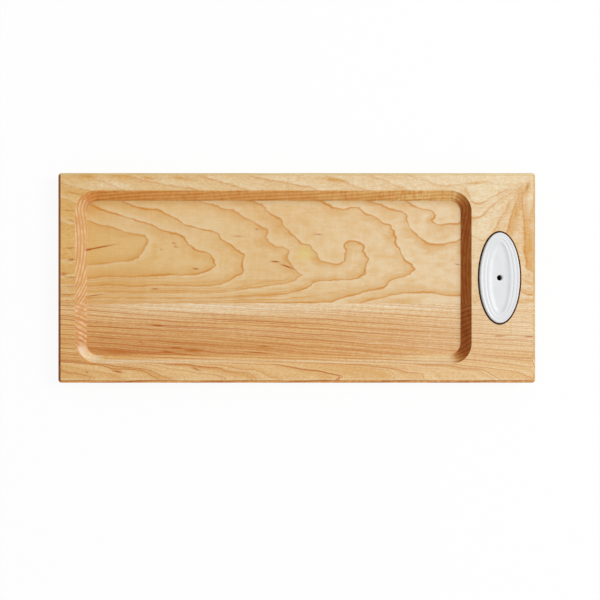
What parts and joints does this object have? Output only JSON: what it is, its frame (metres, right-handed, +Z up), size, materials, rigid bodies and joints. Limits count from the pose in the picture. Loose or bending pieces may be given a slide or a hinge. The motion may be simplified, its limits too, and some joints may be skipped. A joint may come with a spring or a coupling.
{
  "type": "bread board",
  "caption": "Long maple bread board glued up from staves, with a routed tray for the loaf and an oval white ceramic dish, with a peg hole for a table ornament, that lifts out of its pocket.",
  "frame": {"origin": "middle of the underside of the board, on the surface it stands on", "axes": "+X along the board towards the ceramic dish, +Y towards the rear edge, +Z up"},
  "size_m": [0.457, 0.201, 0.0223],
  "materials": {
    "rear_maple": "oiled satin, flat-sawn maple",
    "front_maple": "oiled satin, rift-sawn maple",
    "white_glaze": "glossy white glaze",
    "clear_silicone": "matt, milky"
  },
  "bodies": {
    "board": {"rear_stave": "rear_maple", "front_stave": "front_maple"},
    "dish": {"ceramic_dish": "white_glaze", "dish_pads": "clear_silicone"}
  },
  "joints": [
    {"name": "dish_lift", "type": "slide", "parent": "board", "child": "dish", "axis": [0, 0, 1], "range_m": [0, 0.03]}
  ]
}
